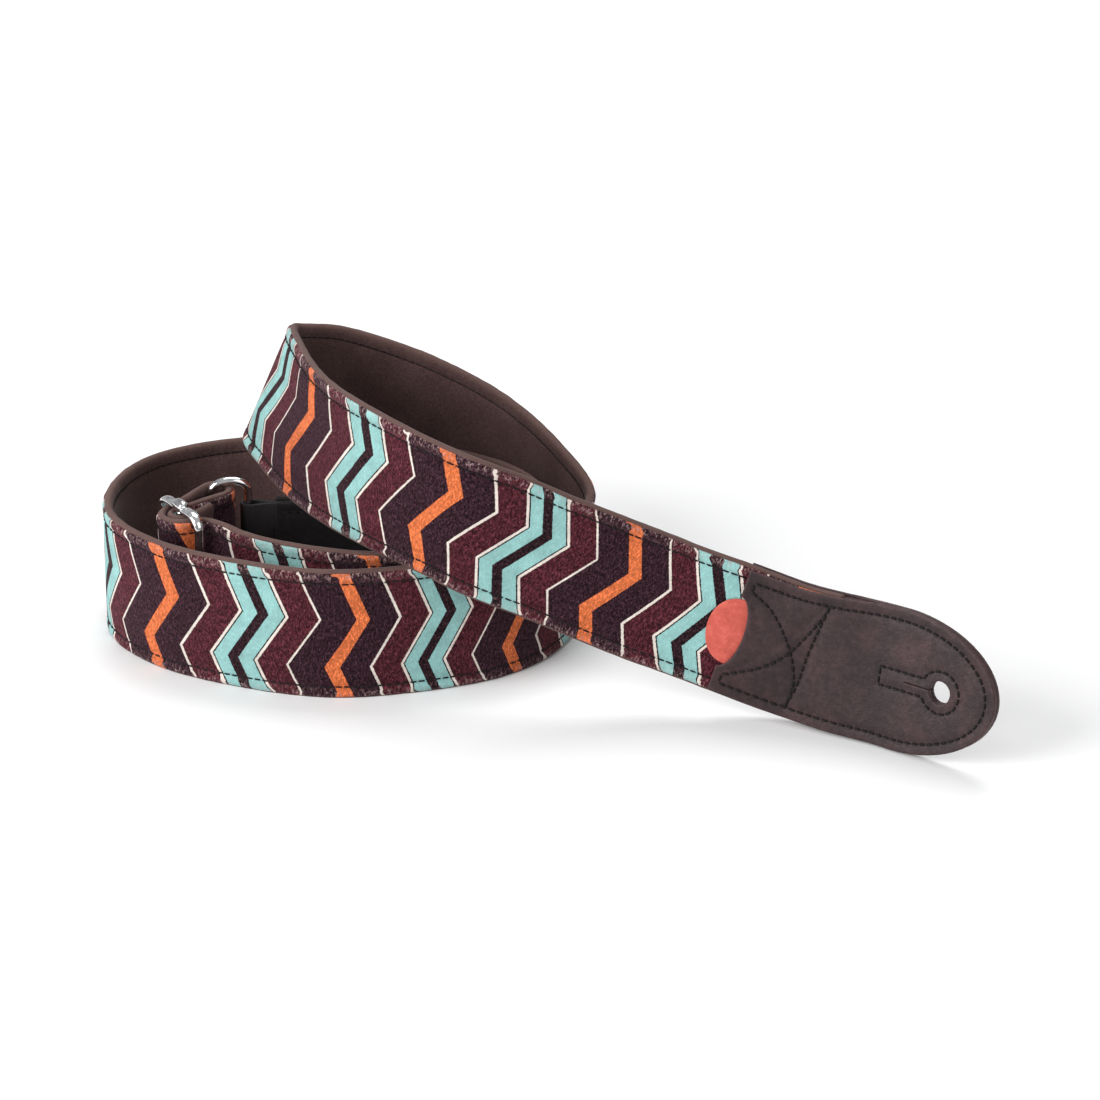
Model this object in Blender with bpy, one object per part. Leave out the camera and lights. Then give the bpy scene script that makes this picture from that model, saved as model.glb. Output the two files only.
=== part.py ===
"""A coiled 50 mm guitar strap: a padded fabric band, a leather tab at each end, and its metal hardware.

The band is one ribbon that follows ROUTE. It starts inside tab A, climbs over the standing loop, comes down
round the outside of it, goes once round the floor, turns inwards, and threads through a three-bar slider.
From there it folds round one bar of an oval ring and comes back to be sewn round the slider's centre bar.
Tab B hangs from the ring's other bar. Every layer is a band of distances from the middle of the ribbon, so
all the layers share one shape: s runs along the ribbon from tab A's tip, v across it, n out of its face.
"""

import math

import bmesh
import bpy
import numpy as np

MM = 0.001
# The middle of the coiled strap's box on the floor, taken off every point so that the box is centred.
MIDDLE = (-4.154, -89.644)

# Widths, and the layers as (lowest, highest) distance from the middle of the ribbon. Gaps are 0.3 mm.
STRAP_WIDTH = 50
FACE = (0.7, 1.6)
INTERLINING = (-0.4, 0.4)
BACKING = (-1.6, -0.7)
TAB_HALF = 26
TAB_NARROWING = 1.6
LEATHER = 1.2
STIFFENER = (-0.3, 0.7)
PICK = (2.2, 2.8)
THREAD = 0.3
THREAD_GAP = 0.3

# Tab A along s: the flat stretch, the ramp over the strap's cut end, and the end the pocket opens at.
TAB_FLAT = 45
RAMP_END = 62
STRAP_START = 66
TAB_END = 106
HOLE_AT = 22.5
HOLE_RADIUS = 4.2
SLIT_END = 37
SLIT_HALF = 0.4

# The hardware stands on the floor, so the ribbon is lifted a little where it passes through.
ROD = 1.5
HARDWARE_Z = 28.8
CENTRE_BAR = (-135, -83.5)
SLIDER_HALF = 13
SLIDER_ANGLE = 125
RING_BAR = (-125, -61.5)
RING_WIDTH = 13.4
RING_ANGLE = 8
HUMP = 7.2
FOLD_CENTRE = (-123.5, -62)
FOLD = 5.4
WRAP = 3.5

TAB_B_REACH = 95
TAB_B_Z = (0.5, 48.5)


def arc(centre, radius, first, last, count):
    """Points of the ribbon on an upright arc round a bar, from one angle in degrees to another."""
    points = []
    for angle in np.radians(np.linspace(first, last, count)):
        x = centre[0] + radius * math.cos(angle)
        y = centre[1] + radius * math.sin(angle)
        points.append((x, y, HARDWARE_Z, 0))
    return points


# The middle line of the ribbon: x, y, height, and how many degrees the ribbon leans over inwards.
# The two stretches under the pocket's mouth are in line, so that the pick slides flat along them.
ROUTE = [
    (156.5, -187, 26.01, 10),
    (137, -173.3, 26.01, 10),
    (117.5, -159.6, 26.01, 10),
    (100, -150.7, 26.5, 7.5),
    (84, -143.8, 28.6, 5),
    (60, -138.2, 35.7, 5),
    (40, -133.5, 41.6, 4),
    (-3, -130.5, 59, 0),
    (-35, -128.2, 72.4, 3),
    (-65, -106, 78, 9),
    (-86, -72, 76.5, 12),
    (-99.5, -36, 75.5, 18),
    (-104.5, -10, 75, 22),
    (-86, 2.5, 69.5, 13),
    (-53, 1.5, 58.5, 5),
    (-21, -13, 47.5, 3),
    (1, -36, 37, 0),
    (12, -61, 28, -6),
    (4, -87, 25.5, -4),
    (-17, -108, 25.05, 0),
    (-50, -121.5, 25, 0),
    (-80, -125.5, 25, 0),
    (-111, -117.5, 25, 0),
    (-143, -100, 25, 0),
    (-161.5, -75, 25, 0),
    (-161.5, -46, 25, 0),
    (-149, -23.5, 25, 0),
    (-120, -8.5, 25, 0),
    (-80, -6.5, 25, 0),
    (-43, -15, 25, 0),
    (-15, -33, 25, 0),
    (-2, -57, 25, 0),
    (-6, -83, 25, 0),
    (-26, -103, 25, 0),
    (-60, -111.5, 25.5, 0),
    (-92, -105.5, 26, 0),
    (-112, -97.5, 27.3, 0),
    (-121, -91.3, 28.5, 0),
    (-127.5, -88.9, HARDWARE_Z, 0),
    *arc(CENTRE_BAR, HUMP, -85, -215, 7),
    (-134, -69, HARDWARE_Z, 0),
    *arc(FOLD_CENTRE, FOLD, 140, -44, 9),
    (-128, -72.5, HARDWARE_Z, 0),
    *arc(CENTRE_BAR, WRAP, 145, 325, 9),
    (-128.4, -80.6, HARDWARE_Z, 0),
    (-124.6, -75.2, HARDWARE_Z, 0),
]


def mix(first, last, start, end, t):
    """The point at t on the line that passes first at start and last at end."""
    return ((end - t) * first + (t - start) * last) / (end - start)


def smooth(points, steps=12):
    """A centripetal Catmull-Rom curve through the points."""
    points = np.array(points, float)
    points = np.vstack([2 * points[0] - points[1], points, 2 * points[-1] - points[-2]])
    curve = []
    for index in range(1, len(points) - 2):
        p0, p1, p2, p3 = points[index - 1 : index + 3]
        spans = np.linalg.norm(np.diff([p0, p1, p2, p3], axis=0)[:, :3], axis=1) ** 0.5
        t0, t1, t2, t3 = np.concatenate([[0], np.cumsum(spans)])
        for t in np.linspace(t1, t2, steps, endpoint=False):
            a = mix(p0, p1, t0, t1, t)
            b = mix(p1, p2, t1, t2, t)
            c = mix(p2, p3, t2, t3, t)
            curve.append(mix(mix(a, b, t0, t2, t), mix(b, c, t1, t3, t), t1, t2, t))
    curve.append(points[-2])
    return np.array(curve)


class Ribbon:
    """The ribbon's middle surface, as flat facets between chosen stations along s."""

    def __init__(self, route):
        curve = smooth(route)
        middle = curve[:, :3]
        run = np.gradient(middle, axis=0)
        run /= np.linalg.norm(run, axis=1)[:, None]
        up = np.array([0, 0, 1]) - run[:, 2:3] * run
        up /= np.linalg.norm(up, axis=1)[:, None]
        lean = np.radians(curve[:, 3:4])
        across = up * np.cos(lean) + np.cross(run, up) * np.sin(lean)
        length = np.concatenate([[0], np.cumsum(np.linalg.norm(np.diff(middle, axis=0), axis=1))])
        kept = self.choose(length, run, across)
        self.s = length[kept]
        self.middle = middle[kept]
        self.across = across[kept]
        self.out = np.cross(across, run)[kept]
        self.run = run[kept]

    @staticmethod
    def choose(length, run, across, turn=math.cos(math.radians(9))):
        """Stations, one wherever the ribbon has turned 9 degrees or run on a little. Flat tab A has none."""
        kept = [0]
        flat = int(np.searchsorted(length, TAB_FLAT))
        for index in range(flat, len(length) - 1):
            last = kept[-1]
            reach = 5 if length[index] < TAB_END + 20 else 12
            turned = min(run[index + 1] @ run[last], across[index + 1] @ across[last]) < turn
            if last == 0 or turned or length[index + 1] - length[last] > reach:
                kept.append(index)
        kept.append(len(length) - 1)
        return kept

    def place(self, s, v, n):
        """The point at s along, v across and n out."""
        point = np.zeros(3)
        for axis in range(3):
            point[axis] = np.interp(s, self.s, self.middle[:, axis])
            point[axis] += v * np.interp(s, self.s, self.across[:, axis])
            point[axis] += n * np.interp(s, self.s, self.out[:, axis])
        return point

    def between(self, first, last):
        """The stations strictly inside a stretch, with its two ends."""
        inside = self.s[(self.s > first + 0.5) & (self.s < last - 0.5)]
        return [first, *inside, last]


def material(name, colour, roughness, metallic=0.0):
    made = bpy.data.materials.new(name)
    made.use_nodes = True
    shader = made.node_tree.nodes["Principled BSDF"]
    shader.inputs["Base Color"].default_value = (*colour, 1)
    shader.inputs["Roughness"].default_value = roughness
    shader.inputs["Metallic"].default_value = metallic
    return made


def add(name, points, faces, look):
    """A named object from points in mm, with its faces turned out."""
    points = np.array(points, float) - (MIDDLE[0], MIDDLE[1], 0)
    mesh = bpy.data.meshes.new(name)
    mesh.from_pydata((points * MM).tolist(), [], faces)
    solid = bmesh.new()
    solid.from_mesh(mesh)
    bmesh.ops.recalc_face_normals(solid, faces=solid.faces[:])
    bmesh.ops.triangulate(solid, faces=solid.faces[:])
    solid.to_mesh(mesh)
    solid.free()
    mesh.materials.append(material(name, *look))
    made = bpy.data.objects.new(name, mesh)
    bpy.context.scene.collection.objects.link(made)
    return made


def sweep(name, rings, look, closed=False):
    """A solid through equal rings of points, capped at both ends unless the path is closed."""
    count = len(rings[0])
    faces = []
    steps = len(rings) if closed else len(rings) - 1
    for step in range(steps):
        here = step * count
        there = (step + 1) % len(rings) * count
        for side in range(count):
            other = (side + 1) % count
            faces.append((here + side, here + other, there + other, there + side))
    if not closed:
        faces.append(tuple(range(count))[::-1])
        faces.append(tuple(range(len(rings) * count - count, len(rings) * count)))
    return add(name, np.concatenate(rings), faces, look)


def layer(name, ribbon, half, depths, stretch, look):
    """One layer of the band: a strip of the ribbon between two depths."""
    rings = []
    for s in ribbon.between(*stretch):
        corners = [(half, depths[0]), (half, depths[1]), (-half, depths[1]), (-half, depths[0])]
        rings.append([ribbon.place(s, v, n) for v, n in corners])
    return sweep(name, rings, look)


def tube(name, path, radius, sides, look, closed=False):
    """A round rod along a path of points."""
    path = np.array(path, float)
    if closed:
        run = np.roll(path, -1, axis=0) - np.roll(path, 1, axis=0)
    else:
        run = np.gradient(path, axis=0)
    run /= np.linalg.norm(run, axis=1)[:, None]
    side = np.cross(run[0], (0.31, 0.57, 0.76))
    rings = []
    for point, ahead in zip(path, run):
        side = side - (side @ ahead) * ahead
        side /= np.linalg.norm(side)
        other = np.cross(ahead, side)
        angles = np.arange(sides) * 2 * math.pi / sides
        rings.append([point + radius * (math.cos(a) * side + math.sin(a) * other) for a in angles])
    return sweep(name, rings, look, closed)


def plate(name, outline, holes, depths, cuts, place, look):
    """A flat piece cut to an outline with holes, creased at cuts along its first axis, laid by place."""
    flat = bmesh.new()
    for loop in (outline, *holes):
        corners = [flat.verts.new((x, y, 0)) for x, y in loop]
        for first, second in zip(corners, corners[1:] + corners[:1]):
            flat.edges.new((first, second))
    bmesh.ops.triangle_fill(flat, edges=flat.edges[:], use_beauty=True, use_dissolve=False)
    for cut in cuts:
        parts = flat.verts[:] + flat.edges[:] + flat.faces[:]
        bmesh.ops.bisect_plane(flat, geom=parts, dist=1e-5, plane_co=(cut, 0, 0), plane_no=(1, 0, 0))
    bmesh.ops.triangulate(flat, faces=flat.faces[:])
    flat.verts.index_update()
    count = len(flat.verts)
    points = []
    for depth in depths:
        points += [place(corner.co.x, corner.co.y, depth) for corner in flat.verts]
    faces = []
    for face in flat.faces:
        corners = [corner.index for corner in face.verts]
        faces.append(tuple(corners))
        faces.append(tuple(index + count for index in reversed(corners)))
    for edge in flat.edges:
        if len(edge.link_faces) == 1:
            first, second = (corner.index for corner in edge.verts)
            faces.append((first, second, second + count, first + count))
    flat.free()
    return add(name, points, faces, look)


def ramp(s, low, high):
    """A depth that goes from low over tab A's flat stretch to high over the strap."""
    share = min(max((s - TAB_FLAT) / (RAMP_END - TAB_FLAT), 0), 1)
    return low + (high - low) * share


def tip_outline(tip, half, inset, count=9):
    """One side of a rounded tip: a quarter ellipse from the tip to the full width."""
    long, wide = tip - inset, half - inset
    angles = np.linspace(0, math.pi / 2, count)
    return [(tip - long * math.cos(a), wide * math.sin(a)) for a in angles]


def tab_outline(tip, half, inset, end, narrowing=0):
    """A tab's outline: down one side, round the tip and back up the other. It narrows towards its end."""
    side = tip_outline(tip, half, inset)
    reach = half - inset - narrowing
    return [(end, reach), *side[::-1]] + [(s, -v) for s, v in side[1:]] + [(end, -reach)]


def keyhole(at, radius, slit_end):
    """The button hole with its slit, as one loop."""
    gap = math.asin(SLIT_HALF / radius)
    angles = np.linspace(gap, 2 * math.pi - gap, 24)
    loop = [(at + radius * math.cos(a), radius * math.sin(a)) for a in angles]
    return loop + [(slit_end, -SLIT_HALF), (slit_end, SLIT_HALF)]


def keyhole_seam(at):
    """The stitch line round the button hole and its slit, open by a hair where it ends."""
    radius, half, reach = 7.8, 3.2, 25
    gap = math.asin(half / radius)
    angles = np.linspace(gap, 2 * math.pi - gap, 15)
    circle = [(at + radius * math.cos(a), radius * math.sin(a)) for a in angles]
    end = at + reach
    return [(end, half - 1.2), (end, half), *circle, (end, -half), (end, half - 2.4)]


def along(ribbon, line, depth):
    """Points of a line of (s, v), with more wherever the ribbon bends."""
    path = []
    for first, second in zip(line, line[1:]):
        steps = max(1, round(abs(second[0] - first[0]) / 8))
        for step in range(steps):
            share = step / steps
            s = first[0] + (second[0] - first[0]) * share
            v = first[1] + (second[1] - first[1]) * share
            path.append(ribbon.place(s, v, depth(s)))
    path.append(ribbon.place(*line[-1], depth(line[-1][0])))
    return path


FABRIC = ((0.10, 0.03, 0.05), 0.9)
FELT = ((0.45, 0.42, 0.38), 0.95)
MICROFIBRE = ((0.05, 0.03, 0.025), 0.8)
BROWN_LEATHER = ((0.06, 0.04, 0.038), 0.55)
DARK_LEATHER = ((0.02, 0.015, 0.015), 0.6)
BOARD = ((0.3, 0.25, 0.2), 0.8)
DARK_THREAD = ((0.01, 0.008, 0.01), 0.8)
CORAL = ((0.75, 0.10, 0.07), 0.35)
CHROME = ((0.8, 0.8, 0.82), 0.12, 1.0)


def build_band(ribbon):
    end = ribbon.s[-1]
    half = STRAP_WIDTH / 2
    layer("strap_face_fabric", ribbon, half, FACE, (STRAP_START, end), FABRIC)
    layer("strap_interlining", ribbon, half - 2, INTERLINING, (STRAP_START, end - 1), FELT)
    layer("strap_backing", ribbon, half - 0.2, BACKING, (STRAP_START, end), MICROFIBRE)
    seam_end = end - 38
    for name, v in (("upper", half - 4.5), ("lower", 4.5 - half)):
        stations = ribbon.between(TAB_END + 8, seam_end)
        path = [ribbon.place(s, v, FACE[1] + THREAD_GAP + THREAD) for s in stations]
        tube("strap_edge_thread_" + name, path, THREAD, 3, DARK_THREAD)
    outside = BACKING[0] - THREAD_GAP - THREAD
    rows = [(end - 2, -20), (end - 2, 20), (end - 5, 20), (end - 5, -20)]
    tube("strap_end_tack_thread", [ribbon.place(s, v, outside) for s, v in rows], THREAD, 4, DARK_THREAD)


def build_tab_a(ribbon):
    def front(s, v, n):
        return ribbon.place(s, v, n + ramp(s, 1.0, 3.4))

    def back(s, v, n):
        return ribbon.place(s, v, n + ramp(s, -0.6, -1.9))

    cuts = [RAMP_END, *ribbon.between(TAB_FLAT - 0.6, TAB_END)[1:-1]]
    hole = keyhole(HOLE_AT, HOLE_RADIUS, SLIT_END)
    tip = 40
    outline = tab_outline(tip, TAB_HALF, 0, TAB_END, TAB_NARROWING)
    # The pocket's mouth is a bite out of the end, between two lips.
    lip, deep = 14, 7
    angles = np.linspace(-math.pi / 2, math.pi / 2, 11)
    bite = [(TAB_END - deep * math.cos(a), lip * math.sin(a)) for a in angles]
    plate("tab_a_front_leather", outline + bite, [hole], (0, LEATHER), cuts, front, BROWN_LEATHER)
    wide = tab_outline(tip, TAB_HALF, 0, TAB_END, 0.5)
    plate("tab_a_back_leather", wide, [hole], (0, -LEATHER), cuts, back, BROWN_LEATHER)
    core = tab_outline(tip, TAB_HALF, 3, STRAP_START - 3)
    plate("tab_a_stiffener", core, [hole], STIFFENER, cuts, ribbon.place, BOARD)

    def on_front(s):
        return ramp(s, 1.0, 3.4) + LEATHER + THREAD_GAP + THREAD

    seams = {
        "border_thread": tab_outline(tip, TAB_HALF, 4, TAB_END - 3, TAB_NARROWING),
        "keyhole_thread": keyhole_seam(HOLE_AT),
        "pocket_thread_1": [(102, 20), (102, 17), (95, 13.5), (87, 7.5), (82.5, 1), (79.5, -8), (80, -20)],
        "pocket_thread_2": [(103, -20), (103, -17), (92, -10), (85, -4)],
        "pocket_thread_3": [(82, 2.5), (77, 8.5), (73.5, 14), (71, 20)],
        "pocket_thread_4": [(71.6, 12), (74.5, 3), (77, -9), (78.3, -17)],
    }
    for name, line in seams.items():
        tube("tab_a_" + name, along(ribbon, line, on_front), THREAD, 4, DARK_THREAD)


def build_pick(ribbon):
    """A rounded triangle that lies in the pocket with its broad end out of the mouth."""
    broad, narrow, half = 114, 86, 13.5
    outline = []
    for a in np.linspace(0, 2 * math.pi, 28, endpoint=False):
        reach = (broad - narrow) / 2
        s = (broad + narrow) / 2 + reach * math.cos(a)
        v = half * math.sin(a) * (1 + 0.28 * math.cos(a)) / 1.08
        outline.append((s, v))
    cuts = ribbon.between(narrow + 1, broad - 1)[1:-1]
    pick = plate("guitar_pick", outline, [], PICK, cuts, ribbon.place, CORAL)
    centre = (ribbon.place((broad + narrow) / 2, 0, PICK[0]) - (MIDDLE[0], MIDDLE[1], 0)) * MM
    move_origin(pick, centre)


def move_origin(made, point):
    """Puts an object's origin at a point without moving its shape."""
    for vertex in made.data.vertices:
        vertex.co = [a - b for a, b in zip(vertex.co, point)]
    made.location = point


def on_axis(spot):
    return ((spot[0] - MIDDLE[0]) * MM, (spot[1] - MIDDLE[1]) * MM, 0)


def upright_loop(centre, angle, half, low, high, corner, steps):
    """A closed path in an upright plane: two straight sides with rounded ends. corner is (across, up)."""
    ahead = (math.cos(math.radians(angle)), math.sin(math.radians(angle)))
    path = []
    for turn, (side, level) in enumerate(((1, high), (-1, high), (-1, low), (1, low))):
        across = side * (half - corner[0])
        up = level - corner[1] if level == high else level + corner[1]
        for a in np.radians(np.linspace(90 * turn, 90 * turn + 90, steps)):
            u = across + corner[0] * math.cos(a)
            path.append((centre[0] + u * ahead[0], centre[1] + u * ahead[1], up + corner[1] * math.sin(a)))
    return path


def build_slider():
    low, high = ROD, 2 * HARDWARE_Z - ROD
    path = upright_loop(CENTRE_BAR, SLIDER_ANGLE, SLIDER_HALF, low, high, (5, 5), 6)
    frame = tube("slider_frame", path, ROD, 10, CHROME, closed=True)
    ends = [low + ROD + 0.3, high - ROD - 0.3]
    bar = tube("slider_centre_bar", [(*CENTRE_BAR, z) for z in ends], ROD, 12, CHROME)
    for made in (frame, bar):
        move_origin(made, on_axis(CENTRE_BAR))


def ring_spot(share):
    """A point along the ring's short axis: 0 is the bar in the strap's fold, 1 is tab B's bar."""
    angle = math.radians(RING_ANGLE)
    reach = RING_WIDTH * share
    return (RING_BAR[0] + reach * math.cos(angle), RING_BAR[1] + reach * math.sin(angle))


def build_ring():
    half = RING_WIDTH / 2
    low, high = ROD, 2 * HARDWARE_Z - ROD + 0.3
    path = upright_loop(ring_spot(0.5), RING_ANGLE, half, low, high, (half - 0.2, 3.8), 7)
    ring = tube("oval_ring", path, ROD, 10, CHROME, closed=True)
    move_origin(ring, on_axis(ring_spot(0)))


def build_tab_b():
    axis = ring_spot(1)
    middle = (TAB_B_Z[0] + TAB_B_Z[1]) / 2
    half = (TAB_B_Z[1] - TAB_B_Z[0]) / 2
    start = 10

    def place(x, up, n):
        return np.array((axis[0] + TAB_B_REACH - x, axis[1] - n, middle + up))

    # Seen from its tip, like tab A, so x counts back from the tip to the ring.
    end = TAB_B_REACH - start
    outline = tab_outline(36, half, 0, end)
    hole = keyhole(HOLE_AT, HOLE_RADIUS, SLIT_END)
    leg = LEATHER + 0.3
    cover = leg + 0.15
    made = [
        plate("tab_b_front_leather", outline, [hole], (cover, cover + LEATHER), [], place, DARK_LEATHER),
        plate("tab_b_back_leather", outline, [hole], (-cover, -cover - LEATHER), [], place, DARK_LEATHER),
    ]
    core = tab_outline(36, half, 3, end - 36)
    made.append(plate("tab_b_stiffener", core, [hole], (-1.2, 1.2), [], place, BOARD))

    # The loop strap goes round the ring's bar and back between the two leathers, clear of the ring's foot.
    inner = ROD + 0.4
    reach = 34
    turn = [math.radians(a) for a in np.linspace(100, 260, 13)]
    middle_line = [(reach, 0.15 + LEATHER / 2), (9, 0.15 + LEATHER / 2)]
    middle_line += [((inner + LEATHER / 2) * math.cos(a), (inner + LEATHER / 2) * math.sin(a)) for a in turn]
    middle_line += [(9, -0.15 - LEATHER / 2), (reach, -0.15 - LEATHER / 2)]
    middle_line = np.array(middle_line)
    run = np.gradient(middle_line, axis=0)
    run /= np.linalg.norm(run, axis=1)[:, None]
    normal = np.stack([-run[:, 1], run[:, 0]], axis=1) * LEATHER / 2
    rings = []
    for spot, out in zip(middle_line, normal):
        corners = []
        for side, up in ((1, 23), (1, -19), (-1, -19), (-1, 23)):
            x, y = spot + side * out
            corners.append((axis[0] + x, axis[1] + y, middle + up))
        rings.append(corners)
    made.append(sweep("tab_b_ring_loop", rings, DARK_LEATHER))

    outside = cover + LEATHER + THREAD_GAP + THREAD
    seams = {"border_thread": tab_outline(36, half, 4, end - 3), "keyhole_thread": keyhole_seam(HOLE_AT)}
    for name, line in seams.items():
        path = [place(x, up, outside) for x, up in line]
        made.append(tube("tab_b_" + name, path, THREAD, 4, DARK_THREAD))
    for piece in made:
        move_origin(piece, on_axis(axis))


def main():
    for old in list(bpy.data.objects):
        bpy.data.objects.remove(old)
    ribbon = Ribbon(ROUTE)
    build_band(ribbon)
    build_tab_a(ribbon)
    build_pick(ribbon)
    build_slider()
    build_ring()
    build_tab_b()


main()
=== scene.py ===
"""A coiled 50 mm guitar strap: woven print on a padded band, leather tabs, a pick and chrome hardware.

Everything soft follows one ribbon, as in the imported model: s runs along it from tab A's tip, v across it and
n out of its printed face, all in millimetres. The pieces are made in millimetres and scaled to metres.
"""

import math

import bmesh
import bpy
import numpy as np
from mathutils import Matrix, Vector, noise


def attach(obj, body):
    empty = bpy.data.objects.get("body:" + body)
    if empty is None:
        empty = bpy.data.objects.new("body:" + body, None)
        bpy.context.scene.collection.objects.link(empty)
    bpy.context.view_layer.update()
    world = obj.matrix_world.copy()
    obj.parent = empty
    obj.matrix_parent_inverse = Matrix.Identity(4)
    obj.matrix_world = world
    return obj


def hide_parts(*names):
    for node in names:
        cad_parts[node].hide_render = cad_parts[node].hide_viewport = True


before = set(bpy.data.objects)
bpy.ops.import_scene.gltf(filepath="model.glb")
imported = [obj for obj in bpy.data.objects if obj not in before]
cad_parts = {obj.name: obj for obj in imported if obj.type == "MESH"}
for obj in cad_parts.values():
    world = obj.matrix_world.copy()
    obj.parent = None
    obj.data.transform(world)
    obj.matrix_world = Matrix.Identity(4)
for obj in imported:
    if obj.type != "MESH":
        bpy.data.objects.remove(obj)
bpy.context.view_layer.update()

MM = 0.001
MIDDLE = (-4.154, -89.644)
STRAP_HALF = 25
STRAP_START = 66
STITCH_LINE = 20.5
STITCH = 3.0
TAB_HALF = 26
TAB_NARROWING = 1.6
TAB_END = 106
TAB_FLAT = 45
RAMP_END = 62
HOLE_AT = 22.5
HOLE_RADIUS = 4.2
SLIT_END = 37
PICK = (2.2, 2.8)
ROD = 1.5
HARDWARE_Z = 28.8
CENTRE_BAR = (-135, -83.5)
SLIDER_HALF = 13
SLIDER_ANGLE = 125
FOLD_CENTRE = (-123.5, -62)
RING_BAR = (-125, -61.5)
RING_WIDTH = 13.4
RING_ANGLE = 8
TAB_B_REACH = 95
TAB_B_Z = (0.5, 48.5)
SEAM_DEPTH = 0.34
SEAM_WIDTH = 1.6
POCKET_STEP = (76, 87)
THREAD_LIFT = 0.12
CAMERA_TILT = math.radians(25)
CAMERA_DISTANCE = 2


# The ribbon's route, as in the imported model's source.


def arc(centre, radius, first, last, count):
    """Points of the ribbon on an upright arc round a bar, from one angle in degrees to another."""
    points = []
    for angle in np.radians(np.linspace(first, last, count)):
        x = centre[0] + radius * math.cos(angle)
        y = centre[1] + radius * math.sin(angle)
        points.append((x, y, HARDWARE_Z, 0))
    return points


# The middle line: x, y, height, and how many degrees the ribbon leans over inwards.
ROUTE = [
    (156.5, -187, 26.01, 10),
    (137, -173.3, 26.01, 10),
    (117.5, -159.6, 26.01, 10),
    (100, -150.7, 26.5, 7.5),
    (84, -143.8, 28.6, 5),
    (60, -138.2, 35.7, 5),
    (40, -133.5, 41.6, 4),
    (-3, -130.5, 59, 0),
    (-35, -128.2, 72.4, 3),
    (-65, -106, 78, 9),
    (-86, -72, 76.5, 12),
    (-99.5, -36, 75.5, 18),
    (-104.5, -10, 75, 22),
    (-86, 2.5, 69.5, 13),
    (-53, 1.5, 58.5, 5),
    (-21, -13, 47.5, 3),
    (1, -36, 37, 0),
    (12, -61, 28, -6),
    (4, -87, 25.5, -4),
    (-17, -108, 25.05, 0),
    (-50, -121.5, 25, 0),
    (-80, -125.5, 25, 0),
    (-111, -117.5, 25, 0),
    (-143, -100, 25, 0),
    (-161.5, -75, 25, 0),
    (-161.5, -46, 25, 0),
    (-149, -23.5, 25, 0),
    (-120, -8.5, 25, 0),
    (-80, -6.5, 25, 0),
    (-43, -15, 25, 0),
    (-15, -33, 25, 0),
    (-2, -57, 25, 0),
    (-6, -83, 25, 0),
    (-26, -103, 25, 0),
    (-60, -111.5, 25.5, 0),
    (-92, -105.5, 26, 0),
    (-112, -97.5, 27.3, 0),
    (-121, -91.3, 28.5, 0),
    (-127.5, -88.9, HARDWARE_Z, 0),
    *arc(CENTRE_BAR, 7.2, -85, -215, 7),
    (-134, -69, HARDWARE_Z, 0),
    *arc(FOLD_CENTRE, 5.4, 140, -44, 9),
    (-128, -72.5, HARDWARE_Z, 0),
    *arc(CENTRE_BAR, 3.5, 145, 325, 9),
    (-128.4, -80.6, HARDWARE_Z, 0),
    (-124.6, -75.2, HARDWARE_Z, 0),
]


def mix(first, last, start, end, t):
    """The point at t on the line that passes first at start and last at end."""
    return ((end - t) * first + (t - start) * last) / (end - start)


def smooth(points, steps):
    """A centripetal Catmull-Rom curve through points of two or more numbers."""
    points = np.array(points, float)
    points = np.vstack([2 * points[0] - points[1], points, 2 * points[-1] - points[-2]])
    curve = []
    for index in range(1, len(points) - 2):
        p0, p1, p2, p3 = points[index - 1 : index + 3]
        spans = np.linalg.norm(np.diff([p0, p1, p2, p3], axis=0)[:, :3], axis=1) ** 0.5
        t0, t1, t2, t3 = np.concatenate([[0], np.cumsum(spans)])
        for t in np.linspace(t1, t2, steps, endpoint=False):
            a = mix(p0, p1, t0, t1, t)
            b = mix(p1, p2, t1, t2, t)
            c = mix(p2, p3, t2, t3, t)
            curve.append(mix(mix(a, b, t0, t2, t), mix(b, c, t1, t3, t), t1, t2, t))
    curve.append(points[-2])
    return np.array(curve)


def lengths(points):
    """The distance along a line to each of its points."""
    return np.concatenate([[0], np.cumsum(np.linalg.norm(np.diff(points, axis=0), axis=1))])


class Ribbon:
    """The ribbon's middle surface, smooth along s."""

    def __init__(self, route):
        curve = smooth(route, 12)
        self.middle = curve[:, :3]
        run = np.gradient(self.middle, axis=0)
        run /= np.linalg.norm(run, axis=1)[:, None]
        up = np.array([0, 0, 1]) - run[:, 2:3] * run
        up /= np.linalg.norm(up, axis=1)[:, None]
        lean = np.radians(curve[:, 3:4])
        self.across = up * np.cos(lean) + np.cross(run, up) * np.sin(lean)
        self.out = np.cross(self.across, run)
        self.s = lengths(self.middle)
        self.end = self.s[-1]

    def place(self, s, v, n):
        """Points at s along, v across and n out, each an array or a number."""
        s, v, n = np.broadcast_arrays(s, v, n)
        axes = []
        for axis in range(3):
            middle = np.interp(s, self.s, self.middle[:, axis])
            across = np.interp(s, self.s, self.across[:, axis])
            out = np.interp(s, self.s, self.out[:, axis])
            axes.append(middle + v * across + n * out)
        return np.stack(axes, axis=-1)


ribbon = Ribbon(ROUTE)


# Materials. Each is a short function that ends in one Principled shader.


def step(tree, kind, sockets=(), **settings):
    """Adds a shader node and fills its sockets, by link or by value."""
    made = tree.nodes.new("ShaderNode" + kind)
    for name, value in settings.items():
        setattr(made, name, value)
    for name, value in dict(sockets).items():
        if isinstance(value, bpy.types.NodeSocket):
            tree.links.new(value, made.inputs[name])
        else:
            made.inputs[name].default_value = value
    return made


def maths(tree, operation, first, second=0.0):
    return step(tree, "Math", {0: first, 1: second}, operation=operation).outputs[0]


def times_plus(tree, value, factor, extra):
    return step(tree, "Math", {0: value, 1: factor, 2: extra}, operation="MULTIPLY_ADD").outputs[0]


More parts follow.
